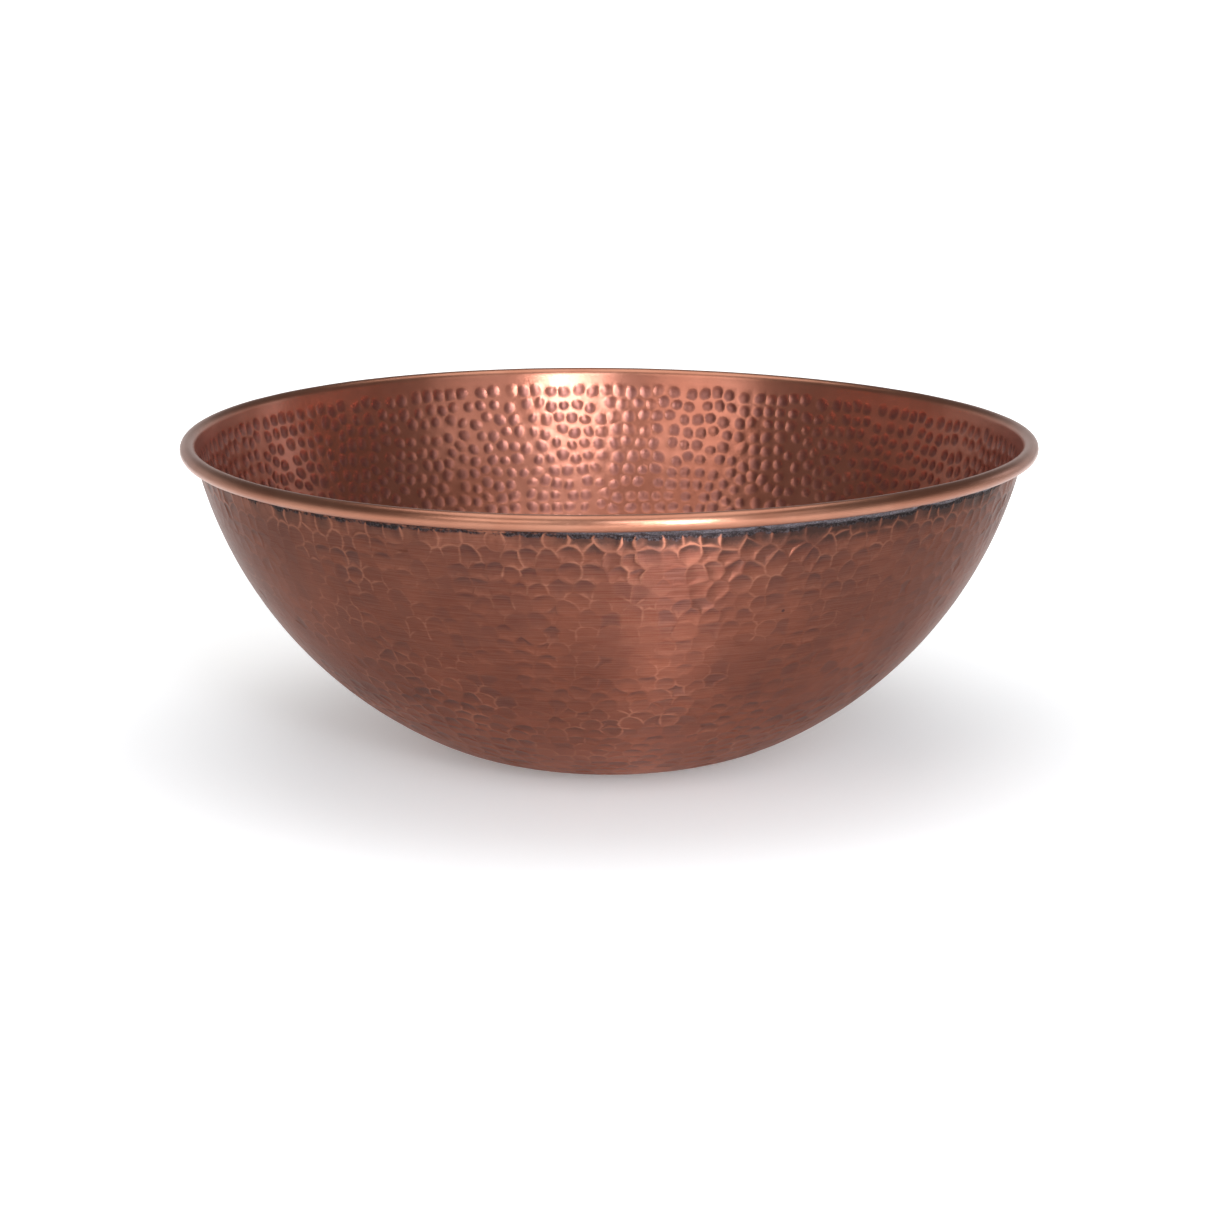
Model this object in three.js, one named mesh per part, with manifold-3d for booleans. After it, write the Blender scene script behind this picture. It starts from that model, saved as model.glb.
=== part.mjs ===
// Hammered copper bowl: one raised copper sheet with a wired, rolled-out rim.
//
// Three separate solids make the bowl. The sheet is a single piece that runs from the flat base,
// up the round wall and round the rim roll to its own raw edge. A steel wire ring lies loose inside
// the roll and keeps it round. A solder seam closes the joint where the raw edge meets the wall.
//
// Units are millimetres. +Z is up, the bowl turns about Z, and the origin is the centre of the flat
// base, on its underside. The hammered surface isn't cut here: these are the nominal surfaces.
import * as THREE from "three";
import { mergeVertices } from "three/addons/utils/BufferGeometryUtils.js";
import Module from "manifold-3d";

// Driving dimensions
const RIM_RADIUS = 203.2; // outside of the rim roll: 16 in across
const SHEET = 1.0; // copper sheet, 18 gauge
const WALL_RADIUS = 201; // outer surface of the wall, a part of a sphere
const TOE_RADIUS = 120; // outer surface where the wall turns into the base
const BASE_RADIUS = 38; // flat that the bowl stands on
const ROLL_RADIUS = 3.7; // outside of the rim roll's round section
const WIRE_RADIUS = 2.38; // 3/16 in steel wire
const WIRE_BUTT_GAP = 1.0; // between the two cut ends of the wire ring
const EDGE_GAP = 0.4; // between the sheet's raw edge and the wall
const FIT_GAP = 0.3; // between the solder and what it joins
const SEAM_DROP = 4.0; // how far the solder reaches down the wall from the raw edge

// Faceting
const TURN_STEPS = 64;
const WALL_STEPS = 14;
const TOE_STEPS = 4;
const ROLL_STEPS = 13;
const WIRE_SIDES = 8;

// The sheet's arcs, as centres in the (radius, height) plane
const toeCentre = new THREE.Vector2(BASE_RADIUS, TOE_RADIUS);
const wallCentre = new THREE.Vector2(
  0,
  TOE_RADIUS + Math.sqrt((WALL_RADIUS - TOE_RADIUS) ** 2 - BASE_RADIUS ** 2),
);
// Angles of the wall are counted up from straight down, about the wall's centre.
const toeAngle = Math.asin(BASE_RADIUS / (WALL_RADIUS - TOE_RADIUS));
const rollInside = ROLL_RADIUS - SHEET;
const rimAngle = Math.asin(
  (RIM_RADIUS - ROLL_RADIUS) / (WALL_RADIUS + rollInside),
);
const rollCentre = onArc(wallCentre, WALL_RADIUS + rollInside, rimAngle);
// The roll starts tangent to the wall, goes over the top and stops short of the wall below.
const rollTurn =
  2 * Math.PI - Math.acos((rollInside - EDGE_GAP) / ROLL_RADIUS);

// A point on an arc, at an angle counted up from straight down.
function onArc(centre, radius, angle) {
  return new THREE.Vector2(
    centre.x + radius * Math.sin(angle),
    centre.y - radius * Math.cos(angle),
  );
}

// Points along an arc from one angle to another, both ends included.
function arc(centre, radius, from, to, steps) {
  return Array.from({ length: steps + 1 }, (_, i) =>
    onArc(centre, radius, from + ((to - from) * i) / steps),
  );
}

// A point of the roll's section, a given turn past where the wall meets it. Turn 0 faces the wall's
// centre, and a quarter turn on is the top of the rim.
function onRoll(radius, turn) {
  return onArc(rollCentre, radius, rimAngle + Math.PI - turn);
}

// A closed profile turned about Z.
function turned(points) {
  return new THREE.LatheGeometry(points, TURN_STEPS).rotateX(Math.PI / 2);
}

// From the axis along the base and up the wall, at a depth below the sheet's outer surface.
function wallLine(depth) {
  return [
    new THREE.Vector2(0, depth),
    ...arc(toeCentre, TOE_RADIUS - depth, 0, toeAngle, TOE_STEPS),
    ...arc(wallCentre, WALL_RADIUS - depth, toeAngle, rimAngle, WALL_STEPS).slice(1),
  ];
}

// The rim roll's curve at a radius about the roll's centre.
function rollLine(radius) {
  return Array.from({ length: ROLL_STEPS }, (_, i) =>
    onRoll(radius, (rollTurn * (i + 1)) / ROLL_STEPS),
  );
}

// One sheet: outer surface up to the rim, the roll's inside, the raw edge, and back along the
// roll's outside and the inner surface to the axis.
function bowlSheet() {
  return turned([
    ...wallLine(0),
    ...rollLine(rollInside),
    ...rollLine(ROLL_RADIUS).reverse(),
    ...wallLine(SHEET).reverse(),
  ]);
}

// A fillet in the corner between the roll's underside, by the raw edge, and the wall.
function solderSeam() {
  const wallFace = WALL_RADIUS + FIT_GAP;
  const rollFace = ROLL_RADIUS + FIT_GAP;
  const edgeTurn = 2 * Math.PI - Math.acos((rollInside - FIT_GAP) / rollFace);
  const root = onRoll(rollFace, edgeTurn);
  const rootAngle = Math.atan2(root.x - wallCentre.x, wallCentre.y - root.y);
  const foot = onArc(wallCentre, wallFace, rootAngle - SEAM_DROP / WALL_RADIUS);
  const lip = onRoll(rollFace, edgeTurn - SEAM_DROP / (3 * ROLL_RADIUS));
  const hollow = new THREE.Vector2(
    (foot.x + lip.x + root.x) / 3,
    (foot.y + lip.y + root.y) / 3,
  ).lerp(lip.clone().add(foot).multiplyScalar(0.5), 0.5);
  return turned([root, foot, hollow, lip, root.clone()]);
}

// A round section turned about Z, with a slot cut where the wire's ends meet.
function wireRing(wasm) {
  const section = Array.from({ length: WIRE_SIDES + 1 }, (_, i) => {
    const turn = (2 * Math.PI * (i % WIRE_SIDES)) / WIRE_SIDES;
    return onRoll(WIRE_RADIUS, -turn);
  });
  const slot = new THREE.BoxGeometry(WIRE_BUTT_GAP, 6 * WIRE_RADIUS, 6 * WIRE_RADIUS);
  slot.translate(0, rollCentre.x, rollCentre.y);
  return cut(wasm, turned(section), slot);
}

// A three.js geometry as a manifold-3d solid.
function solid(wasm, geometry) {
  const bare = geometry.clone();
  bare.deleteAttribute("normal");
  bare.deleteAttribute("uv");
  const merged = mergeVertices(bare);
  return new wasm.Manifold(
    new wasm.Mesh({
      numProp: 3,
      vertProperties: merged.attributes.position.array,
      triVerts: new Uint32Array(merged.index.array),
    }),
  );
}

function cut(wasm, body, tool) {
  const mesh = solid(wasm, body).subtract(solid(wasm, tool)).getMesh();
  return new THREE.BufferGeometry()
    .setAttribute("position", new THREE.BufferAttribute(mesh.vertProperties, 3))
    .setIndex(new THREE.BufferAttribute(mesh.triVerts, 1));
}

const copper = new THREE.MeshStandardMaterial({
  color: 0x9a5f48,
  roughness: 0.35,
  metalness: 1,
});
const steel = new THREE.MeshStandardMaterial({
  color: 0x8f9194,
  roughness: 0.45,
  metalness: 1,
});
const darkSolder = new THREE.MeshStandardMaterial({
  color: 0x4a4549,
  roughness: 0.7,
  metalness: 0.8,
});

function piece(name, geometry, material) {
  const mesh = new THREE.Mesh(geometry, material);
  mesh.name = name;
  return mesh;
}

const wasm = await Module();
wasm.setup();

const bowl = new THREE.Group();
bowl.add(piece("bowl_sheet", bowlSheet(), copper));
bowl.add(piece("rim_wire", wireRing(wasm), steel));
bowl.add(piece("rim_solder_seam", solderSeam(), darkSolder));

export default bowl;
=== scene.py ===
import math

import bpy
import numpy as np
from mathutils import Euler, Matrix, Vector, geometry, kdtree, noise


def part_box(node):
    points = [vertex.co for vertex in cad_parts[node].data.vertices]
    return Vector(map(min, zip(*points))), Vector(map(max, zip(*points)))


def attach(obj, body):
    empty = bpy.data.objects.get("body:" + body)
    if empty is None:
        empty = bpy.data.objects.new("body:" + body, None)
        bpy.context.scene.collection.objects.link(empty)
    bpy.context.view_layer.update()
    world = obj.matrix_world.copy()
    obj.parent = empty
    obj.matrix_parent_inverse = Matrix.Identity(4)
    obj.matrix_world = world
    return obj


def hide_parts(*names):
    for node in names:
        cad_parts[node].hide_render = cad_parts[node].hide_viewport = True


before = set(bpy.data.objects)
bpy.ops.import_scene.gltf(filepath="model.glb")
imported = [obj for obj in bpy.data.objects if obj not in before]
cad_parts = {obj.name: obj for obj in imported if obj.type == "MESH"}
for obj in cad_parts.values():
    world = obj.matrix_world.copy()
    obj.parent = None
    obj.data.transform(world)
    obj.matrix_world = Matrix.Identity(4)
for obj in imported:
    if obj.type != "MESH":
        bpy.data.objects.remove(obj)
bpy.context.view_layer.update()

# ---------------------------------------------------------------------------------------------
# Sizes in millimetres. The bowl's section is a flat base, a toe arc, a wall that is part of a
# sphere, and the rim roll, all as in the CAD.
# ---------------------------------------------------------------------------------------------
MM = 0.001
low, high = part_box("bowl_sheet")
RIM_RADIUS = round((high.x - low.x) / 2 / MM, 1)  # outside of the rim roll
SHEET = 1.0  # thickness
WALL_RADIUS = 201.0  # the wall's outer surface
TOE_RADIUS = 120.0
BASE_RADIUS = 38.0
ROLL_RADIUS = 3.7
EDGE_GAP = 0.4  # between the sheet's raw edge and the wall
WIRE_RADIUS = 2.38
WIRE_GAP = 1.0  # between the wire's two ends

toe_centre = np.array([BASE_RADIUS, TOE_RADIUS])
toe_angle = math.asin(BASE_RADIUS / (WALL_RADIUS - TOE_RADIUS))
wall_centre = np.array([0.0, TOE_RADIUS + math.sqrt((WALL_RADIUS - TOE_RADIUS) ** 2 - BASE_RADIUS**2)])
roll_inside = ROLL_RADIUS - SHEET
rim_angle = math.asin((RIM_RADIUS - ROLL_RADIUS) / (WALL_RADIUS + roll_inside))
rim_direction = np.array([math.sin(rim_angle), -math.cos(rim_angle)])
roll_centre = wall_centre + (WALL_RADIUS + roll_inside) * rim_direction
roll_turn = 2 * math.pi - math.acos((roll_inside - EDGE_GAP) / ROLL_RADIUS)  # round to the raw edge

# Handwork, which the CAD doesn't have.
RIM_TWIST = 1.0  # how far the rim falls and rises, twice on the way round
DENT_APART, DENT_COURSE = 7.6, 7.1  # between dents in a course, and from course to course
FACET_APART, FACET_COURSE = 8.5, 7.8
TOP_FACET_APART = 9.4  # in the first course under the rim
JITTER = 0.8  # how far blows stray from even spacing, where 1 is nearly half of it
BLOW_GAP = 6.7  # blows nearer to each other than this are moved apart
BORDER_STRIP = 9.0  # blows nearer to the border of the hammering than this are mirrored in it
BITE_RUN = 9.0  # a blow this much lower down is stronger by 1
DENT_STEP, FACET_STEP = 2.3, 2.2  # length of the steps along a patch's border
FACET_BOW = 0.15  # how far a facet's border bows, as a share of its length
DENT_EDGE = 0.05  # how deep the rounded edge of a dent lies
DEEPEST_FACET = 0.45  # leaves metal over every dent inside
SEAM_ANGLE = -1.05  # where the solder seam is widest, at the front right
SOLDER_SINK = 0.06  # how deep the solder lies in the sheet that it is bonded to
GRIT_CIRCLE = 200.0  # the circle of noise that gives the solder its grit


def polar(far, angle):
    return np.stack([far * np.cos(angle), far * np.sin(angle)], -1)


def turned(r, z, angle):
    """Places at radius r and height z, turned round the bowl's axis to angle."""
    return np.stack(np.broadcast_arrays(r * np.cos(angle), r * np.sin(angle), z), -1)


def rise(value, start, end):
    """How far value has come from start to end, from 0 to 1."""
    return np.clip((value - start) / (end - start), 0, 1)


def soft_noise(points, size, seed):
    """Smooth noise of about -1 to 1 at each point, for features of the given size in mm."""
    shift = Vector((seed * 7.31, seed * 3.17, seed * 5.77))
    return np.array([noise.noise(Vector(p) / size + shift) for p in points]) * 1.6


class Skin:
    """One face of the sheet from the axis to the rim, measured along its section, s, in mm.

    depth is how far it lies in from the outer face, and into is 1 on the inner face and -1 on the
    outer one. plane is where it lies on a flat map that keeps angles, so that round marks stay
    round there.
    """

    STATIONS = 6000  # along the section, in its table

    def __init__(self, depth, into):
        toe, wall = TOE_RADIUS - depth, WALL_RADIUS - depth
        lengths = [BASE_RADIUS, toe * toe_angle, wall * (rim_angle - toe_angle)]
        base_end, toe_end, self.end = np.cumsum(lengths)
        self.s = np.linspace(0, self.end, self.STATIONS)

        def by_part(on_base, on_toe, on_wall):
            return np.where(self.s < base_end, on_base, np.where(self.s < toe_end, on_toe, on_wall))

        turn = by_part(0, (self.s - base_end) / toe, toe_angle + (self.s - toe_end) / wall)
        self.r = by_part(self.s, toe_centre[0] + toe * np.sin(turn), wall * np.sin(turn))
        self.z = by_part(depth, toe_centre[1] - toe * np.cos(turn), wall_centre[1] - wall * np.cos(turn))
        # The normal points into the metal on both faces.
        self.nr, self.nz = into * np.sin(turn), -into * np.cos(turn)
        self.swing = np.arctan2(self.r, wall_centre[1] - self.z)  # angle about the wall's centre
        steps = np.diff(self.s) / np.maximum((self.r[1:] + self.r[:-1]) / 2, 1e-6)
        log_plane = np.concatenate([[0], np.cumsum(steps[::-1])])[::-1]
        self.plane = self.r[-1] * np.exp(-log_plane)
        self.plane[0] = 0

    def radius(self, s):
        return np.interp(s, self.s, self.r)

    def height(self, s):
        return np.interp(s, self.s, self.z)

    def normal(self, s):
        return np.interp(s, self.s, self.nr), np.interp(s, self.s, self.nz)

    def place(self, s, angle, depth):
        nr, nz = self.normal(s)
        return turned(self.radius(s) + depth * nr, self.height(s) + depth * nz, angle)

    def nearest(self, points):
        """The (s, angle) of points that lie close to the skin."""
        swing = np.arctan2(np.hypot(points[:, 0], points[:, 1]), wall_centre[1] - points[:, 2])
        return np.interp(swing, self.swing, self.s), np.arctan2(points[:, 1], points[:, 0])

    def to_plane(self, s, angle):
        return polar(np.interp(s, self.s, self.plane), angle)

    def from_plane(self, xy):
        return np.interp(np.hypot(xy[:, 0], xy[:, 1]), self.plane, self.s), np.arctan2(xy[:, 1], xy[:, 0])

    def scale(self, xy):
        """Millimetres on the skin for each unit of the map."""
        far = np.maximum(np.hypot(xy[:, 0], xy[:, 1]), 1e-3)
        return np.interp(far, self.plane, self.r) / far


inside, outside = Skin(SHEET, 1), Skin(0, -1)
INSIDE_TOP = inside.end - 9.2  # middles of the first course of dents
INSIDE_BORDER = inside.end - 3.8  # where the hammered patches end and the smooth band starts
OUTSIDE_TOP = outside.end - 10.2
OUTSIDE_BORDER = outside.end - 5.8


# ---------------------------------------------------------------------------------------------
# Hammer marks. Each blow owns the patch of sheet nearer to it than to any other blow. A patch is
# meshed as rings from its border in to its middle, so that its edges are edges of the mesh.
# ---------------------------------------------------------------------------------------------
def blow_places(skin, top, top_apart, apart, course, rng):
    """Blows in rough courses down from top to the centre, as (s, angle)."""
    places = []
    s = top
    while s > 0.7 * course:
        first = s == top
        count = max(4, round(2 * math.pi * float(skin.radius(s)) / (top_apart if first else apart)))
        phases = rng.uniform(0, 2 * math.pi, 3)
        turn = rng.random()
        for k in range(count):
            angle = 2 * math.pi * (k + turn + JITTER * rng.uniform(-1, 1) * 0.5) / count
            wave = sum(math.sin(n * angle + phase) for n, phase in zip((2, 5, 9), phases)) / 3
            drift = 0.0 if first else 0.16 * course * wave
            stray = JITTER * course * rng.uniform(-0.42, 0.42) * (0.45 if first else 1)
            places.append((s + drift + stray, angle))
        s -= course
    places.append((0.0, 0.0))
    return np.array(places)


def settle(skin, places):
    """Moves blows apart that are nearer to each other than BLOW_GAP, in a few rounds."""
    top = places[:, 0].max()
    for _ in range(6):
        points = skin.place(places[:, 0], places[:, 1], 0.0)
        tree = kdtree.KDTree(len(points))
        for i, point in enumerate(points):
            tree.insert(point, i)
        tree.balance()
        moved = points.copy()
        for i, point in enumerate(points[:-1]):
            for other, j, far in tree.find_range(point, BLOW_GAP):
                if j != i:
                    moved[i] += (point - np.array(other)) * 0.4 * (BLOW_GAP / max(far, 0.1) - 1)
        s, angle = skin.nearest(moved)
        places = np.stack([np.minimum(s, top), angle], -1)
    return places


def mirrored(skin, places, border_s):
    """The blows near the border mirrored in it, on the flat map, so that patches end at the border."""
    near = places[:, 0] > border_s - BORDER_STRIP
    s, angle = 2 * border_s - places[near, 0], places[near, 1]
    outwards = np.argsort(s)
    s, angle = s[outwards], angle[outwards]
    # The skin's table stops at its end, so the map is carried on from there.
    over = np.maximum(s - skin.end, 0)
    return polar(np.interp(s, skin.s, skin.plane) * np.exp(over / skin.r[-1]), angle)


def circumcentres(a, b, c):
    (ax, ay), (bx, by), (cx, cy) = a.T, b.T, c.T
    d = 2 * (ax * (by - cy) + bx * (cy - ay) + cx * (ay - by))
    aa, bb, cc = ax**2 + ay**2, bx**2 + by**2, cx**2 + cy**2
    x = aa * (by - cy) + bb * (cy - ay) + cc * (ay - by)
    y = aa * (cx - bx) + bb * (ax - cx) + cc * (bx - ax)
    return np.stack([x, y], -1) / d[:, None]


def voronoi(seeds):
    """The corners of the patches round the seeds, and the two corners between each pair of seeds."""
    _, _, faces, origins, _, _ = geometry.delaunay_2d_cdt([Vector(p) for p in seeds], [], [], 0, 1e-7)
    triangles = np.array([[origins[i][0] for i in face] for face in faces])
    sides = {}
    for t, triangle in enumerate(triangles):
        for i in range(3):
            pair = tuple(sorted((triangle[i], triangle[(i + 1) % 3])))
            sides.setdefault(pair, []).append(t)
    return circumcentres(*(seeds[triangles[:, i]] for i in range(3))), sides


def join_near(corners, sides, unit, gap):
    """Makes one of corners that nearly meet. Returns those left, and which one each corner became."""
    group = list(range(len(corners)))

    def head(t):
        while group[t] != t:
            t = group[t]
        return t

    for first, second in sides.values():
        if np.hypot(*(corners[first] - corners[second])) * unit[first] < gap:
            group[head(first)] = head(second)
    heads = np.array([head(t) for t in range(len(corners))])
    left, number = np.unique(heads, return_inverse=True)
    return np.array([corners[heads == t].mean(0) for t in left]), number


class Patches:
    """The patches of a set of blows, as spokes from each blow's middle to its patch's border.

    blow, vertex and next give each spoke's blow, its vertex on the border, and the spoke after it
    round the patch. s and angle place the border's vertices, and rim lists the outermost ones. On
    the skin's flat map, spoke runs from middle to border, toward is its direction, and unit is the
    millimetres for each unit of the map.
    """

    def __init__(self, skin, places, border_s, step, bow, rng):
        self.skin, real = skin, len(places)
        seeds = np.concatenate(
            [skin.to_plane(places[:, 0], places[:, 1]), mirrored(skin, places, border_s)]
        )
        corners, sides = voronoi(seeds)
        sides = {pair: both for pair, both in sides.items() if len(both) == 2 and min(pair) < real}
        corners, number = join_near(corners, sides, skin.scale(corners), 0.5 * step)
        # Blows lower down came later, so they bite into the ones above them.
        strength = rng.uniform(-0.8, 0.8, len(seeds))
        strength[:real] -= places[:, 0] / BITE_RUN

        # A border line between two blows is cut into short steps, and bows towards the weaker blow.
        points, lines, outermost = list(corners), {}, set()
        for pair, both in sides.items():
            p, q = number[both]
            inner = max(pair) < real
            line = [p, q]
            if p != q:
                span = corners[q] - corners[p]
                length = float(np.hypot(*span))
                parts = max(1, round(length * float(skin.scale(corners[p][None])[0]) / step))
                across = seeds[pair[1]] - seeds[pair[0]]
                across = across / np.hypot(*across)
                bite = min(1.0, max(-1.0, strength[pair[0]] - strength[pair[1]]))
                push = bow * bite * length if inner else 0.0
                line = [p, *range(len(points), len(points) + parts - 1), q]
                for t in np.arange(1, parts) / parts:
                    points.append(corners[p] + span * t + across * push * 4 * t * (1 - t))
                lines[pair] = line
            if not inner:
                outermost.update(line)

        self.blow, self.vertex, self.next = self.spokes(seeds, lines, real)
        border = np.array(points)
        self.rim = sorted(outermost, key=lambda v: math.atan2(border[v][1], border[v][0]))
        self.s, self.angle = skin.from_plane(border)
        self.s[self.rim] = border_s
        self.middle = seeds[:real]
        self.middle_s, self.middle_angle = skin.from_plane(self.middle)
        self.spoke = skin.to_plane(self.s, self.angle)[self.vertex] - self.middle[self.blow]
        far = np.hypot(self.spoke[:, 0], self.spoke[:, 1])
        self.toward = self.spoke / far[:, None]
        self.unit = skin.scale(self.middle)[self.blow]
        self.reach = far * self.unit  # mm from middle to border

    @staticmethod
    def spokes(seeds, lines, real):
        """Walks each patch's border round its middle, from line to line."""
        own = [[] for _ in range(real)]
        for pair, line in lines.items():
            for blow, other in (pair, pair[::-1]):
                if blow < real:
                    apart = seeds[other] - seeds[blow]
                    own[blow].append((math.atan2(apart[1], apart[0]), line))
        blows, vertices, following = [], [], []
        for blow, pieces in enumerate(own):
            walk = [line for _, line in sorted(pieces)]
            ids = []
            for line, after in zip(walk, walk[1:] + walk[:1]):
                forward = line if line[-1] in (after[0], after[-1]) else line[::-1]
                ids += forward[:-1]
            start = len(blows)
            blows += [blow] * len(ids)
            vertices += ids
            following += [start + (i + 1) % len(ids) for i in range(len(ids))]
        return np.array(blows), np.array(vertices), np.array(following)

    def around(self, offset):
        """The (s, angle) that lies at an offset on the map from the middle, for each spoke."""
        return self.skin.from_plane(self.middle[self.blow] + offset)

    def add_border(self, sheet, **marks):
        """Adds the border to the sheet, and returns the number there of each of its vertices."""
        used = np.unique(self.vertex)
        marks = {name: np.broadcast_to(mark, len(self.s))[used] for name, mark in marks.items()}
        places = self.skin.place(self.s[used], self.angle[used], 0.0)
        number = np.full(len(self.s), -1)
        number[used] = sheet.add(places, along=self.s[used], **marks)
        return number

    def fill(self, sheet, border, rings, floor, flip):
        """Faces from the border in through the rings to the floor of each patch."""
        for inner, outer in zip(rings, [border[self.vertex], *rings]):
            sheet.quads(inner, outer, self.next, flip)
        sheet.fan(rings[-1], floor[self.blow], self.next, flip)


def twisted(places):
    """The handmade rim isn't quite level: it falls and rises twice on the way round."""
    angle = np.arctan2(places[:, 1], places[:, 0])
    lift = -RIM_TWIST * np.sin(2 * angle) * rise(places[:, 2], 0, 150) ** 2
    return places + np.stack([0 * lift, 0 * lift, lift], -1)


class Sheet:
    """The closed mesh of the copper sheet as it grows: places, marks per vertex, and faces."""

    MARKS = ("dent", "ridge", "tone", "bead", "outside", "along", "soot", "seam", "lee")

    def __init__(self):
        self.places, self.faces = [], []
        self.marks = {name: [] for name in self.MARKS}
        self.count = 0

    def add(self, places, **marks):
        """Adds vertices and returns their numbers."""
        n = len(places)
        self.places.append(places)
        for name in self.MARKS:
            self.marks[name].append(np.broadcast_to(marks.get(name, 0.0), n).astype(float))
        self.count += n
        return np.arange(self.count - n, self.count)

    def quads(self, inner, outer, following, flip):
        """Faces between two rings of the same spokes. following says which spoke is next."""
        faces = np.stack([inner, outer, outer[following], inner[following]], -1)
        self.faces.append(faces[:, ::-1] if flip else faces)

    def fan(self, ring, middle, following, flip):
        faces = np.stack([middle, ring, ring[following]], -1)
        self.faces.append(faces[:, ::-1] if flip else faces)

    def stitch(self, ring_a, angles_a, ring_b, angles_b):
        """Triangles between two rings round the bowl that have different numbers of vertices."""
        faces = []
        i = j = 0
        m, n = len(ring_a), len(ring_b)
        while i < m or j < n:
            next_a = angles_a[i + 1] if i + 1 < m else angles_a[0] + 2 * math.pi
            next_b = angles_b[j + 1] if j + 1 < n else angles_b[0] + 2 * math.pi
            a, b = ring_a[i % m], ring_b[j % n]
            if j >= n or (i < m and next_a <= next_b):
                faces.append((a, b, ring_a[(i + 1) % m]))
                i += 1
            else:
                faces.append((a, b, ring_b[(j + 1) % n]))
                j += 1
        self.faces.append(np.array(faces))

    def build(self, name):
        places = twisted(np.concatenate(self.places))
        mesh = bpy.data.meshes.new(name)
        mesh.vertices.add(len(places))
        mesh.vertices.foreach_set("co", (places * MM).astype(np.float32).ravel())
        corners = np.concatenate([f.ravel() for f in self.faces])
        sizes = np.concatenate([np.full(len(f), f.shape[1]) for f in self.faces])
        starts = np.concatenate([[0], np.cumsum(sizes)[:-1]])
        mesh.loops.add(len(corners))
        mesh.loops.foreach_set("vertex_index", corners.astype(np.int32))
        mesh.polygons.add(len(sizes))
        mesh.polygons.foreach_set("loop_start", starts.astype(np.int32))
        mesh.polygons.foreach_set("loop_total", sizes.astype(np.int32))
        mesh.polygons.foreach_set("use_smooth", np.ones(len(sizes), bool))
        is_outer = np.concatenate(self.marks["outside"])[corners[starts]] > 0.5
        mesh.polygons.foreach_set("material_index", is_outer.astype(np.int32))
        mesh.update(calc_edges=True)
        for mark in self.MARKS:
            layer = mesh.attributes.new(mark, "FLOAT", "POINT")
            layer.data.foreach_set("value", np.concatenate(self.marks[mark]).astype(np.float32))
        mesh.validate()
        piece = bpy.data.objects.new(name, mesh)
        bpy.context.scene.collection.objects.link(piece)
        return piece


def seam_share(angle):
    """How much solder and residue shows under the rim at each angle, from 0 to 1."""
    circle = turned(RIM_RADIUS, 0, angle)
    heavy = rise(np.abs(angle - SEAM_ANGLE), 0.75, 0.40)
    patchy = np.clip(0.35 + 0.9 * soft_noise(circle, 60, 14), 0, 1) * 0.55
    fine = 1 + 0.6 * soft_noise(circle, 7, 15)
    return np.clip(np.maximum(heavy, patchy) * fine, 0, 1)


SEAM_ANGLES = np.linspace(-math.pi, math.pi, 721)
SEAM_SHARES = seam_share(SEAM_ANGLES)
SEAM_SHARES[-1] = SEAM_SHARES[0]


def seam_at(angle):
    return np.interp(angle, SEAM_ANGLES, SEAM_SHARES)


def hammer_inside(sheet, rng):
    """Round dents with land between them. Returns the ring at the border and its angles."""
    places = blow_places(inside, INSIDE_TOP, DENT_APART, DENT_APART, DENT_COURSE, rng)
    patches = Patches(inside, settle(inside, places), INSIDE_BORDER, DENT_STEP, 0.0, rng)
    blow, reach, count = patches.blow, patches.reach, len(places)

    size = rng.uniform(2.5, 3.4, count)
    size = np.where(patches.middle_s > INSIDE_TOP - 3, rng.uniform(3.0, 3.5, count), size)
    long_way, stretch = rng.uniform(0, math.pi, count), rng.uniform(0, 0.16, count)
    facing = np.arctan2(patches.toward[:, 1], patches.toward[:, 0])
    edge = size[blow] * (1 + stretch[blow] * np.cos(2 * (facing - long_way[blow])))
    edge *= 1 + rng.uniform(-0.035, 0.035, len(edge))
    edge = np.minimum(edge, 0.86 * reach)  # a dent keeps inside its patch
    lip = edge + np.minimum(0.6, 0.7 * (reach - edge))  # from here the metal bends down to the edge
    depth = rng.uniform(0.28, 0.44, count)
    tone = rng.uniform(-1, 1, count)
    dark = np.clip(rng.normal(0.86, 0.16, count), 0.35, 1)

    def ring(far, sink, **marks):
        s, angle = patches.around(patches.toward * (far / patches.unit)[:, None])
        return sheet.add(inside.place(s, angle, sink), along=s, **marks)

    border = patches.add_border(sheet)
    rings = [
        ring(lip, 0.0, tone=0.3 * tone[blow]),
        ring(edge, DENT_EDGE, dent=0.5 * dark[blow], tone=tone[blow]),
        ring(0.62 * edge, DENT_EDGE + 0.62 * depth[blow], dent=dark[blow], tone=tone[blow]),
    ]
    s, angle = patches.middle_s, patches.middle_angle
    floor = sheet.add(inside.place(s, angle, DENT_EDGE + depth), dent=dark, tone=tone, along=s)
    patches.fill(sheet, border, rings, floor, False)
    return border[patches.rim], patches.angle[patches.rim]


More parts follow.
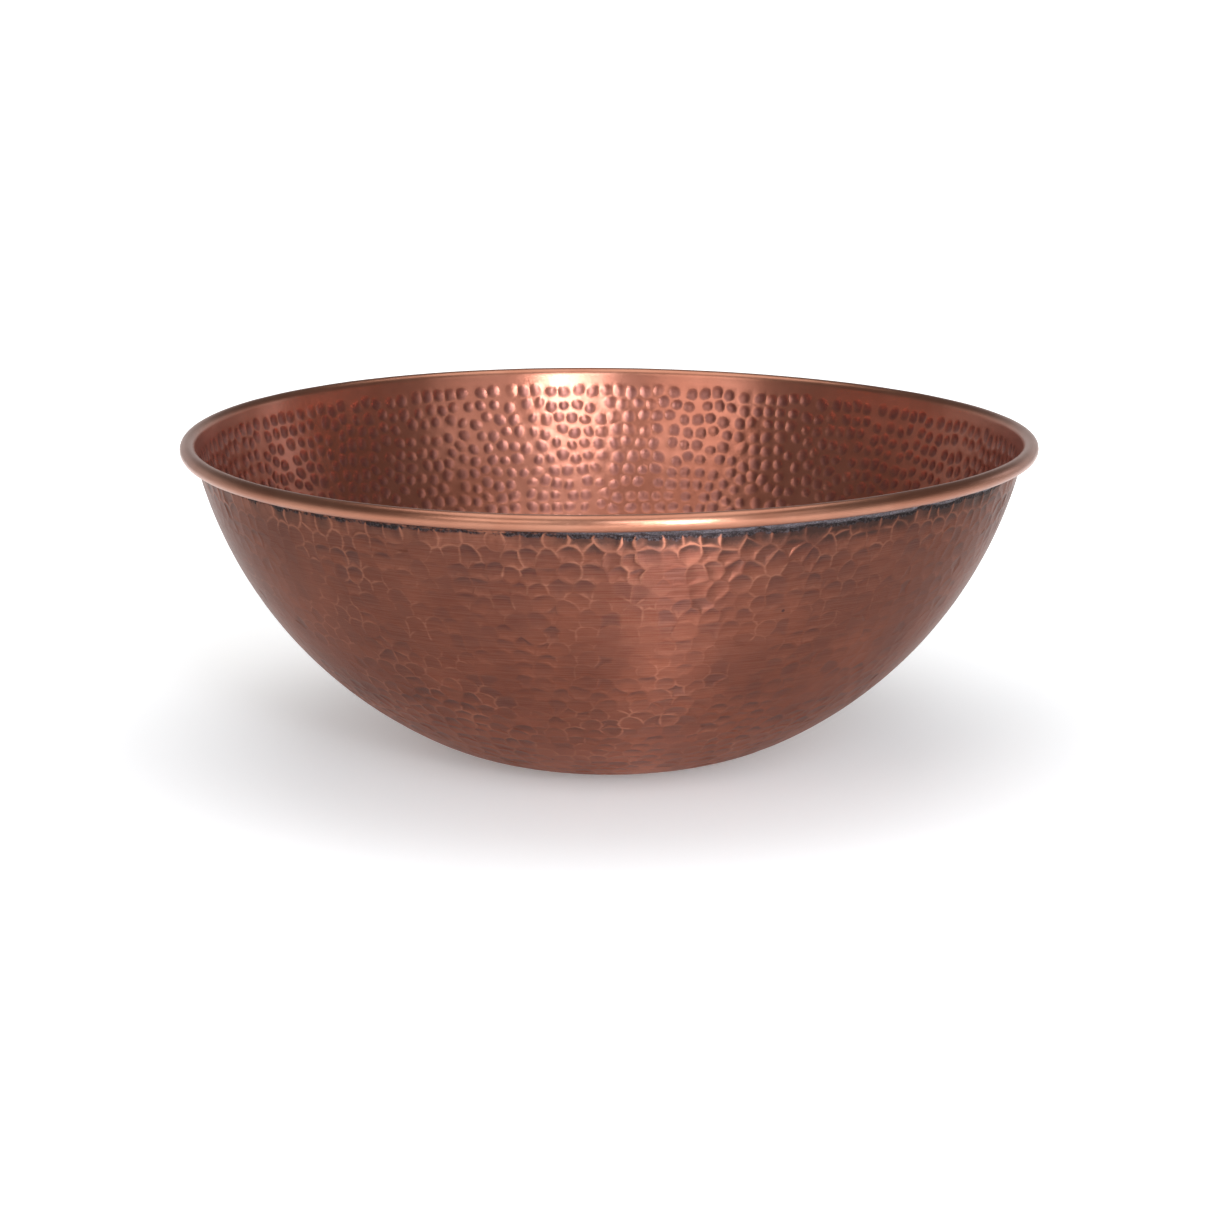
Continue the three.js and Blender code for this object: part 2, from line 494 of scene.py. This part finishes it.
def hammer_outside(sheet, rng):
    """Shallow facets that meet in ridges. Returns the ring at the border and its angles."""
    places = blow_places(outside, OUTSIDE_TOP, TOP_FACET_APART, FACET_APART, FACET_COURSE, rng)
    patches = Patches(outside, settle(outside, places), OUTSIDE_BORDER, FACET_STEP, FACET_BOW, rng)
    blow, count = patches.blow, len(places)

    # The marks are crisp under the rim and low down, and nearly planished away between. The wall is
    # smoother at the left too.
    middle = outside.place(patches.middle_s, patches.middle_angle, 0.0)
    x, height = middle[:, 0], middle[:, 2]
    crisp = 0.42 + 0.58 * rise(height, 105, 130) + 0.5 * rise(height, 72, 40)
    crisp *= np.clip(0.85 + 0.75 * soft_noise(middle, 34, 3), 0.12, 1.5)
    crisp *= 1 - 0.5 * rise(-x, 90, 140) * rise(height, 50, 80)
    depth = crisp * rng.uniform(0.16, 0.44, count)
    deep = rng.random(count) < 0.08 + 0.12 * rise(height, 80, 60)
    depth = np.minimum(np.where(deep, depth * 1.5 + 0.05, depth), DEEPEST_FACET)
    tone = np.clip(rng.normal(0, 0.22, count) - 0.7 * deep, -1, 1)
    # The upper side of a facet is its lee: it faces down, patina stays in it, and shade is painted on it.
    uphill = patches.middle[blow] / np.maximum(np.hypot(*patches.middle[blow].T), 1e-3)[:, None]
    lee = (patches.toward * uphill).sum(-1)
    lee *= np.clip(crisp * rng.uniform(0.2, 1.7, count), 0, 1)[blow]

    # Ridges are rubbed bright in broken runs: in most places just under the rim, and less on the
    # planished middle of the wall and at the right.
    line = outside.place(patches.s, patches.angle, 0.0)
    x, height = line[:, 0], line[:, 2]
    broken = 0.4 + 0.9 * soft_noise(line, 16, 8) + 0.8 * soft_noise(line, 5, 7)
    shown = np.clip(broken, 0, 1) * np.clip(0.75 + 0.9 * soft_noise(line, 50, 9), 0.1, 1)
    under_rim = rise(patches.s - OUTSIDE_BORDER, -14, -10)
    shown = np.maximum(shown, under_rim * np.clip(0.6 + 0.7 * soft_noise(line, 12, 5), 0, 0.85))
    shown *= 0.55 + 0.45 * rise(height, 112, 127) + 0.55 * rise(height, 66, 40)
    shown *= 1 - 0.4 * rise(x, 50, 100)

    def ring(share, **marks):
        s, angle = patches.around(patches.spoke * share[:, None])
        sunk = outside.place(s, angle, depth[blow] * (1 - share**2))
        return sheet.add(sunk, along=s, outside=1, seam=seam_at(angle), **marks)

    border = patches.add_border(sheet, outside=1, ridge=shown, seam=seam_at(patches.angle))
    brow = np.maximum(0.6, 1 - 0.95 / patches.reach)
    rings = [
        ring(brow, tone=0.6 * tone[blow], lee=lee, ridge=0.22 * shown[patches.vertex]),
        ring(0.76 * brow, tone=0.9 * tone[blow], lee=0.9 * lee),
        ring(0.4 * brow, tone=tone[blow], lee=0.35 * lee),
    ]
    s, angle = patches.middle_s, patches.middle_angle
    sunk = outside.place(s, angle, depth)
    floor = sheet.add(sunk, along=s, outside=1, seam=seam_at(angle), tone=tone)
    patches.fill(sheet, border, rings, floor, True)
    return border[patches.rim], patches.angle[patches.rim]


def rim_roll(sheet):
    """The smooth band inside the rim, the roll, its raw edge and the band outside, in one strip.

    Returns the strip's first and last rings and their angles.
    """
    columns = 640
    angles = np.linspace(-math.pi, math.pi, columns, endpoint=False)
    circle = turned(RIM_RADIUS, 0, angles)
    uneven, fine, ragged = soft_noise(circle, 22, 21), soft_noise(circle, 5, 22), soft_noise(circle, 9, 23)

    def around(r, z, **marks):
        return sheet.add(turned(r, z, angles), **marks)

    def on_roll(radius, turn):
        angle = rim_angle + math.pi - turn
        swell = 1 + 0.012 * uneven + 0.003 * fine
        r = roll_centre[0] + radius * swell * np.sin(angle)
        return r, roll_centre[1] - radius * swell * np.cos(angle)

    rings = []
    for s in np.linspace(INSIDE_BORDER, inside.end, 6)[1:-1]:
        share = (s - INSIDE_BORDER) / (inside.end - INSIDE_BORDER)
        rings.append(around(inside.radius(s), inside.height(s), along=s, bead=0.3 * share))
    # The raw edge is ragged, so the roll stops a little sooner or later.
    last_turn = roll_turn - 0.05 - 0.05 * np.clip(ragged, -1, 1) - 0.10 * np.clip(ragged - 0.75, 0, 1)
    for share in np.linspace(0, 1, 30):
        along = inside.end + ROLL_RADIUS * roll_turn * share
        bead = 0.3 + 0.7 * min(1, share * 9)
        rings.append(around(*on_roll(ROLL_RADIUS, last_turn * share), along=along, bead=bead))
    # Painted shade: the raw edge and the inside of the curl are darkened for the gap under the roll.
    for depth in (0.12, 0.5, 0.88):
        edge = on_roll(ROLL_RADIUS - depth * SHEET, last_turn + 0.012)
        rings.append(around(*edge, along=along, bead=1, soot=0.6))
    for share in np.linspace(1, 0, 18):
        rings.append(around(*on_roll(roll_inside, last_turn * share), along=along, bead=1, soot=0.8))
    for s in np.linspace(OUTSIDE_BORDER, outside.end, 6)[1:-1][::-1]:
        marks = {"along": s, "outside": 1, "seam": seam_at(angles)}
        rings.append(around(outside.radius(s), outside.height(s), **marks))
    following = np.roll(np.arange(columns), -1)
    for a, b in zip(rings[:-1], rings[1:]):
        sheet.quads(a, b, following, False)
    return rings[0], rings[-1], angles


# ---------------------------------------------------------------------------------------------
# The bowl
# ---------------------------------------------------------------------------------------------
rng = np.random.default_rng(29)
sheet = Sheet()
inside_ring, inside_angles = hammer_inside(sheet, rng)
outside_ring, outside_angles = hammer_outside(sheet, rng)
roll_first, roll_last, roll_angles = rim_roll(sheet)
sheet.stitch(inside_ring, inside_angles, roll_first, roll_angles)
sheet.stitch(roll_last, roll_angles, outside_ring, outside_angles)
bowl = sheet.build("hammered_sheet")
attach(bowl, "root")
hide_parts("bowl_sheet")


def make_piece(name, places, faces):
    """A piece with its places in mm. Its quads are smooth, and its other faces are flat."""
    mesh = bpy.data.meshes.new(name)
    mesh.from_pydata([tuple(p * MM) for p in twisted(places)], [], faces)
    mesh.polygons.foreach_set("use_smooth", [len(f) == 4 for f in faces])
    piece = bpy.data.objects.new(name, mesh)
    bpy.context.scene.collection.objects.link(piece)
    return piece


def wire_ring():
    """The steel wire inside the roll, a C whose ends nearly meet at the back."""
    columns, sides = 360, 12
    half_gap = math.asin(WIRE_GAP / 2 / roll_centre[0])
    angles = math.pi / 2 + np.linspace(half_gap, 2 * math.pi - half_gap, columns)
    turns = np.linspace(0, 2 * math.pi, sides, endpoint=False)
    r, z = (roll_centre + WIRE_RADIUS * polar(1, turns)).T
    places = np.concatenate([turned(r, z, angle) for angle in angles])
    faces = [tuple(range(sides)), tuple(range((columns - 1) * sides, columns * sides))[::-1]]
    for i in range(columns - 1):
        for j in range(sides):
            a, b = i * sides + j, i * sides + (j + 1) % sides
            faces.append((a, a + sides, b + sides, b))
    return make_piece("steel_wire", places, faces)


def solder_seam():
    """Gritty solder in the corner between the roll's underside and the wall."""
    columns, across = 900, 7
    angles = np.linspace(-math.pi, math.pi, columns, endpoint=False)
    share = seam_at(angles)

    def on_roll(turn):
        angle = rim_angle + math.pi - turn
        return roll_centre + (ROLL_RADIUS - SOLDER_SINK) * np.stack([np.sin(angle), -np.cos(angle)], -1)

    # The face curves from its foot on the wall to its lip on the roll, pulled towards the root.
    root = on_roll(roll_turn - 0.12)
    lip = on_roll(roll_turn - (0.2 + 0.3 * share))
    root_s = outside.end - (ROLL_RADIUS + 0.2) * math.sin(2 * math.pi - roll_turn)
    foot_s = root_s - (1.5 + 2.8 * share)
    foot = np.column_stack([outside.radius(foot_s), outside.height(foot_s)])
    foot_normal = np.column_stack(outside.normal(foot_s))
    pull = root + (foot - root) * 0.28 + (lip - root) * 0.28
    rows = []
    for i in range(across):
        k = i / (across - 1)
        row = foot * (1 - k) ** 2 + pull * 2 * k * (1 - k) + lip * k**2
        if i == 0:
            row = row + foot_normal * SOLDER_SINK
        elif i < across - 1:
            spots = turned(GRIT_CIRCLE, 3 * i, angles)
            grit = 0.16 * soft_noise(spots, 1.5, 31) + 0.22 * soft_noise(spots, 5, 32)
            row = row - foot_normal * (0.12 + grit * (0.5 + 0.5 * share))[:, None]
        rows.append(row)
    rows.append(np.broadcast_to(root, (columns, 2)))

    places = np.concatenate([turned(*row.T, angles) for row in rows])
    faces = []
    for i in range(len(rows)):
        a, b = i * columns, (i + 1) % len(rows) * columns
        for j in range(columns):
            k = (j + 1) % columns
            faces.append((a + j, a + k, b + k, b + j))
    return make_piece("solder_seam", places, faces)


wire = wire_ring()
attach(wire, "root")
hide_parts("rim_wire")

seam = solder_seam()
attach(seam, "root")
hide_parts("rim_solder_seam")


# ---------------------------------------------------------------------------------------------
# Materials
# ---------------------------------------------------------------------------------------------
class Shader:
    """A short way to write a material's nodes."""

    def __init__(self, name):
        self.material = bpy.data.materials.new(name)
        self.material.use_nodes = True
        self.tree = self.material.node_tree
        self.surface = self.tree.nodes["Principled BSDF"]

    def node(self, kind, inputs=(), **settings):
        made = self.tree.nodes.new("ShaderNode" + kind)
        for key, value in settings.items():
            setattr(made, key, value)
        for key, value in dict(inputs).items():
            self.put(made.inputs[key], value)
        return made

    def put(self, socket, value):
        if isinstance(value, bpy.types.NodeSocket):
            self.tree.links.new(value, socket)
        else:
            socket.default_value = value

    def apply(self, **inputs):
        """Sets the surface's sockets, named with _ for each space."""
        for name, value in inputs.items():
            self.put(self.surface.inputs[name.replace("_", " ")], value)

    def mark(self, name):
        return self.node("Attribute", attribute_name=name).outputs["Fac"]

    def math(self, operation, a, b=0.0, c=0.0):
        return self.node("Math", {0: a, 1: b, 2: c}, operation=operation).outputs[0]

    def times(self, a, b):
        return self.math("MULTIPLY", a, b)

    def span(self, value, low, high, to_low=0.0, to_high=1.0):
        inputs = {"Value": value, "From Min": low, "From Max": high, "To Min": to_low, "To Max": to_high}
        return self.node("MapRange", inputs, clamp=True).outputs[0]

    def noise(self, place, scale, detail=3.0, rough=0.5):
        inputs = {"Vector": place, "Scale": scale, "Detail": detail, "Roughness": rough}
        return self.node("TexNoise", inputs).outputs["Fac"]

    def mix(self, share, a, b):
        made = self.node("Mix", data_type="RGBA")
        self.put(made.inputs["Factor"], share)
        self.put(made.inputs["A"], (*a, 1) if isinstance(a, tuple) else a)
        self.put(made.inputs["B"], (*b, 1) if isinstance(b, tuple) else b)
        return made.outputs["Result"]

    def bump(self, height, distance, under=None):
        inputs = {"Height": height, "Distance": distance, "Strength": 1.0}
        if under is not None:
            inputs["Normal"] = under
        return self.node("Bump", inputs).outputs["Normal"]


class Copper(Shader):
    """Brushed, clear-coated copper, darkened in the hammer marks and rubbed bright on their edges.

    stretch is the anisotropy of the brushed metal, and edge_tint colours its glancing reflections.
    """

    def __init__(self, name, stretch, edge_tint):
        super().__init__(name)
        self.place = self.node("TexCoord").outputs["Object"]
        self.split = self.node("SeparateXYZ", {0: self.place}).outputs
        self.dent, self.ridge, self.tone, self.bead, self.outer, self.along, soot, self.seam, self.lee = (
            self.mark(name) for name in Sheet.MARKS
        )
        self.down = self.math("SUBTRACT", outside.end, self.along)  # mm down the wall from the roll
        self.patches = self.noise(self.place, 26.0, 3.0, 0.55)
        self.mottle = self.noise(self.place, 120.0, 4.0, 0.6)
        grain = self.noise(self.place, 900.0, 2.0, 0.6)
        strokes, self.broad_strokes = self.brush_strokes()
        brushed = self.math("MAXIMUM", self.outer, self.times(self.bead, 0.4))
        # Solder residue, with painted shade under the roll and in the gap at its raw edge.
        residue_and_shade, haze = self.residue_and_shade()
        residue_and_shade = self.math("MAXIMUM", soot, residue_and_shade)

        polished = self.mix(self.span(self.patches, 0.4, 0.6), (0.475, 0.210, 0.134), (0.42, 0.172, 0.106))
        colour = self.mix(self.outer, self.inside_colour(), self.wall_colour())
        colour = self.mix(self.bead, colour, polished)
        light = self.times(self.span(strokes, 0.35, 0.75, 0.0, 0.12), brushed)
        dark = self.times(self.span(strokes, 0.45, 0.2, 0.0, 0.15), brushed)
        colour = self.mix(dark, self.mix(light, colour, (0.80, 0.43, 0.31)), (0.16, 0.07, 0.055))
        colour = self.mix(self.pits(), colour, (0.06, 0.03, 0.03))
        colour = self.mix(haze, colour, (0.06, 0.03, 0.024))
        black = self.mix(self.span(grain, 0.45, 0.62), (0.032, 0.023, 0.024), (0.115, 0.095, 0.105))
        colour = self.mix(residue_and_shade, colour, black)

        dent_rough = self.span(self.dent, 0.0, 1.0, 0.30, 0.42)
        rough = self.span(self.outer, 0.0, 1.0, dent_rough, 0.42)
        rough = self.span(self.bead, 0.0, 1.0, rough, 0.32)
        rough = self.math("ADD", rough, self.times(self.span(strokes, 0.25, 0.75, -0.07, 0.09), brushed))
        rough = self.math("ADD", rough, self.span(residue_and_shade, 0.0, 1.0, 0.0, 0.3))

        lines = self.bump(self.times(strokes, brushed), 0.00006)
        self.apply(Base_Color=colour, Roughness=rough, Normal=self.bump(grain, 0.00003, lines))
        self.apply(Metallic=1.0, Specular_Tint=(*edge_tint, 1), Coat_Weight=0.14, Coat_Roughness=0.16)
        self.apply(Anisotropic=stretch, Anisotropic_Rotation=0.25)

    def brush_strokes(self):
        """Strokes run round the bowl, so they are fine across its section and long around it."""
        long = {axis: self.times(self.split[axis], 22.0) for axis in ("X", "Y")}
        stroke = self.node("CombineXYZ", {**long, "Z": self.along}).outputs[0]
        return self.noise(stroke, 2.6, 4.0, 0.65), self.noise(stroke, 0.7, 2.0, 0.5)

    def inside_colour(self):
        land = self.mix(self.span(self.patches, 0.35, 0.65), (0.60, 0.228, 0.152), (0.48, 0.168, 0.106))
        land = self.mix(self.span(self.mottle, 0.5, 0.8, 0.0, 0.3), land, (0.40, 0.14, 0.09))
        floor = self.mix(self.span(self.mottle, 0.3, 0.7), (0.285, 0.112, 0.09), (0.38, 0.145, 0.108))
        return self.mix(self.span(self.dent, 0.1, 0.9), land, floor)

    def wall_colour(self):
        """Brown, lighter low down and by the rim, darker in the facets and bright on their ridges."""
        height = self.split["Z"]
        wall = self.mix(self.span(self.patches, 0.33, 0.67), (0.225, 0.065, 0.036), (0.154, 0.0425, 0.025))
        # Painted reflection of the pale floor: the wall is lighter low down.
        wall = self.mix(self.span(height, 0.05, 0.0, 0.0, 0.9), wall, (0.30, 0.09, 0.049))
        wall = self.mix(self.span(height, 0.07, 0.12, 0.0, 0.26), wall, (0.105, 0.033, 0.023))
        near_rim = self.times(self.span(self.down, 10.0, 15.0, 0.6, 0.0), self.span(self.mottle, 0.3, 0.6))
        wall = self.mix(near_rim, wall, (0.36, 0.13, 0.078))
        wall = self.mix(self.span(self.tone, -1.0, 0.15, 0.65, 0.0), wall, (0.095, 0.034, 0.028))
        wall = self.mix(self.span(self.mottle, 0.45, 0.75, 0.0, 0.3), wall, (0.13, 0.046, 0.032))
        # Patina and painted shade darken the facets' upper sides; their lower sides get a painted
        # highlight.
        wall = self.mix(self.span(self.lee, 0.1, 0.9, 0.0, 0.8), wall, (0.07, 0.025, 0.022))
        wall = self.mix(self.span(self.lee, -0.1, -1.0, 0.0, 0.35), wall, (0.36, 0.125, 0.075))
        rubbed = self.times(self.ridge, self.span(self.broad_strokes, 0.3, 0.6, 0.5, 1.0))
        return self.mix(self.span(rubbed, 0.1, 0.95, 0.0, 0.5), wall, (0.56, 0.23, 0.14))

    def residue_and_shade(self):
        """Black residue under the seam and painted shadow under the roll, and a haze below, in facets more
        than on ridges.
        """
        torn = self.span(self.noise(self.place, 380.0, 4.0, 0.7), 0.25, 0.75, -1.5, 1.5)
        torn = self.math("ADD", torn, self.times(self.lee, 1.5))
        torn = self.math("SUBTRACT", torn, self.times(self.ridge, 1.2))
        # The 6 mm base runs the black all round under the roll as a painted shadow; the seam adds residue.
        reach = self.math("MULTIPLY_ADD", self.seam, 3.3, 6.0)
        over = self.math("SUBTRACT", self.math("ADD", reach, torn), self.down)
        black = self.span(over, -0.3, 0.8, 0.0, 0.93)
        haze = self.times(self.span(over, -8.0, -2.0, 0.0, 0.95), self.span(self.seam, 0.1, 0.7))
        haze = self.times(haze, self.span(self.ridge, 0.0, 0.5, 1.0, 0.0))
        return self.times(black, self.outer), self.times(haze, self.outer)

    def pits(self):
        """A few pits in the wall and the roll."""
        cells = self.node("TexVoronoi", {"Vector": self.place, "Scale": 48.0}).outputs["Distance"]
        few = self.span(self.mottle, 0.52, 0.55, 0.0, 0.85)
        pits = self.times(self.span(cells, 0.03, 0.045, 1.0, 0.0), few)
        return self.times(pits, self.math("MAXIMUM", self.outer, self.bead))


def solder():
    """Dull grey solder, darkened and gritty."""
    m = Shader("gritty_solder")
    place = m.node("TexCoord").outputs["Object"]
    grit, lumps = m.noise(place, 1400.0, 3.0, 0.6), m.noise(place, 260.0, 3.0, 0.6)
    colour = m.mix(m.span(lumps, 0.35, 0.65), (0.062, 0.048, 0.05), (0.125, 0.105, 0.118))
    colour = m.mix(m.span(grit, 0.5, 0.72), colour, (0.23, 0.21, 0.245))
    colour = m.mix(m.span(grit, 0.45, 0.3), colour, (0.03, 0.022, 0.022))
    rough = m.span(grit, 0.3, 0.7, 0.7, 0.42)
    m.apply(Base_Color=colour, Roughness=rough, Metallic=0.6)
    m.apply(Normal=m.bump(grit, 0.0002, m.bump(lumps, 0.0003)))
    return m


def steel():
    """Drawn steel wire with faint die lines and a little rust."""
    m = Shader("drawn_steel")
    place = m.node("TexCoord").outputs["Object"]
    blotch, lines = m.noise(place, 90.0, 4.0, 0.6), m.noise(place, 1500.0, 2.0, 0.5)
    colour = m.mix(m.span(blotch, 0.5, 0.7), (0.40, 0.40, 0.41), (0.24, 0.15, 0.10))
    colour = m.mix(m.span(lines, 0.4, 0.7, 0.0, 0.3), colour, (0.2, 0.2, 0.21))
    rough = m.span(blotch, 0.4, 0.7, 0.35, 0.6)
    m.apply(Base_Color=colour, Roughness=rough, Metallic=0.9, Normal=m.bump(lines, 0.00002))
    return m


def dress(piece, *shaders):
    for shader in shaders:
        piece.data.materials.append(shader.material)


dress(bowl, Copper("copper", 0.6, (1, 1, 1)), Copper("copper_wall", 0.88, (0.74, 0.65, 0.62)))
dress(seam, solder())
dress(wire, steel())


# ---------------------------------------------------------------------------------------------
# Stage: a pale floor, soft lights and the camera
# ---------------------------------------------------------------------------------------------
def make_floor():
    bpy.ops.mesh.primitive_circle_add(vertices=96, radius=16, fill_type="NGON", location=(0, 0, 0))
    floor = bpy.context.object
    floor.name = "floor"
    m = Shader("pale_floor")
    # The floor glows white away from the bowl, as a lit paper sweep does. It glows less beside the
    # bowl and in front of it, where it would light the metal too much, and more again farther out.
    place = m.node("TexCoord").outputs["Object"]
    split = m.node("SeparateXYZ", {0: place}).outputs
    far = m.node("VectorMath", {0: place}, operation="LENGTH").outputs["Value"]
    aside = m.math("SUBTRACT", m.math("ABSOLUTE", split["X"]), m.times(split["Y"], 0.2))
    beside = m.span(aside, 0.34, 0.55, 1.0, 0.25)
    paper = m.times(beside, m.span(split["Y"], -0.9, -0.6, 0.25, 1.0))
    paper = m.math("MAXIMUM", paper, m.span(aside, 1.3, 2.6, 0.0, 0.75))
    glow = m.times(m.span(far, 0.0, 0.7, 0.15, 0.95), paper)
    m.apply(Base_Color=(0.86, 0.86, 0.86, 1), Roughness=0.9)
    m.apply(Emission_Color=(1, 1, 1, 1), Emission_Strength=glow)
    dress(floor, m)


def make_world():
    """A backdrop that looks white. It lights the bowl from low down behind more than from elsewhere."""
    world = bpy.data.worlds.new("studio")
    bpy.context.scene.world = world
    world.use_nodes = True
    tree = world.node_tree
    tree.nodes.clear()
    split = tree.nodes.new("ShaderNodeSeparateXYZ")
    tree.links.new(tree.nodes.new("ShaderNodeTexCoord").outputs["Generated"], split.inputs[0])

    def ramp(value, *ends):
        made = tree.nodes.new("ShaderNodeMapRange")
        made.interpolation_type = "SMOOTHSTEP"
        for key, end in zip(("Value", "From Min", "From Max", "To Min", "To Max"), (value, *ends)):
            if isinstance(end, bpy.types.NodeSocket):
                tree.links.new(end, made.inputs[key])
            else:
                made.inputs[key].default_value = end
        return made.outputs[0]

    low_band = ramp(split.outputs["Y"], 0.2, 0.7, 0.34, 0.76)
    lit = ramp(split.outputs["Z"], 0.15, 0.45, low_band, 0.19)
    seen = tree.nodes.new("ShaderNodeLightPath").outputs["Is Camera Ray"]
    back = tree.nodes.new("ShaderNodeBackground")
    out = tree.nodes.new("ShaderNodeOutputWorld")
    tree.links.new(ramp(seen, 0.0, 1.0, lit, 0.92), back.inputs["Strength"])
    tree.links.new(back.outputs[0], out.inputs[0])


def soft_light(name, place, aim, width, height, power, colour=(1, 1, 1)):
    """A rectangle of light at place that faces aim."""
    data = bpy.data.lights.new(name, "AREA")
    data.shape = "RECTANGLE"
    data.size, data.size_y, data.energy, data.color = width, height, power, colour
    light = bpy.data.objects.new(name, data)
    light.location = place
    light.rotation_euler = (Vector(aim) - Vector(place)).to_track_quat("-Z", "Y").to_euler()
    bpy.context.scene.collection.objects.link(light)


def make_camera():
    """A long lens that looks down a little, at a place on the bowl's axis below the rim."""
    data = bpy.data.cameras.new("camera")
    data.sensor_width = 36.0
    data.lens = 92.06
    camera = bpy.data.objects.new("camera", data)
    down = math.radians(13.16)
    distance, aim = 1.5, high.z - 0.0858
    camera.location = (-0.001, -distance * math.cos(down), aim + distance * math.sin(down))
    camera.rotation_euler = Euler((math.pi / 2 - down, 0, 0))
    bpy.context.scene.collection.objects.link(camera)
    bpy.context.scene.camera = camera


make_floor()
make_world()
soft_light("overhead", (0, 0.1, 1.9), (0, 0, 0), 1.8, 1.8, 17)
soft_light("key_inside", (0.36, -1.85, 1.05), (0, 0.2, 0.12), 0.7, 0.8, 11, (0.88, 1.0, 1.1))
soft_light("key_glint", (0.30, -1.72, 0.80), (0, 0.2, 0.12), 0.16, 0.10, 0.8)
soft_light("key_low", (0.28, -0.95, 0.24), (0.02, -0.2, 0.12), 0.07, 0.30, 4.9, (0.94, 1.0, 1.06))
soft_light("fill_left", (-0.86, -1.5, 1.0), (0, 0, 0.1), 1.0, 0.9, 6.0)
soft_light("glint_right", (1.22, 0.72, 0.42), (-0.15, -0.05, 0.11), 0.28, 0.35, 0.24, (0.9, 1.0, 1.12))
soft_light("fill_right", (1.25, -1.25, 0.95), (0, 0, 0.1), 0.8, 0.9, 1.9)
make_camera()
bpy.context.scene.view_settings.view_transform = "Standard"
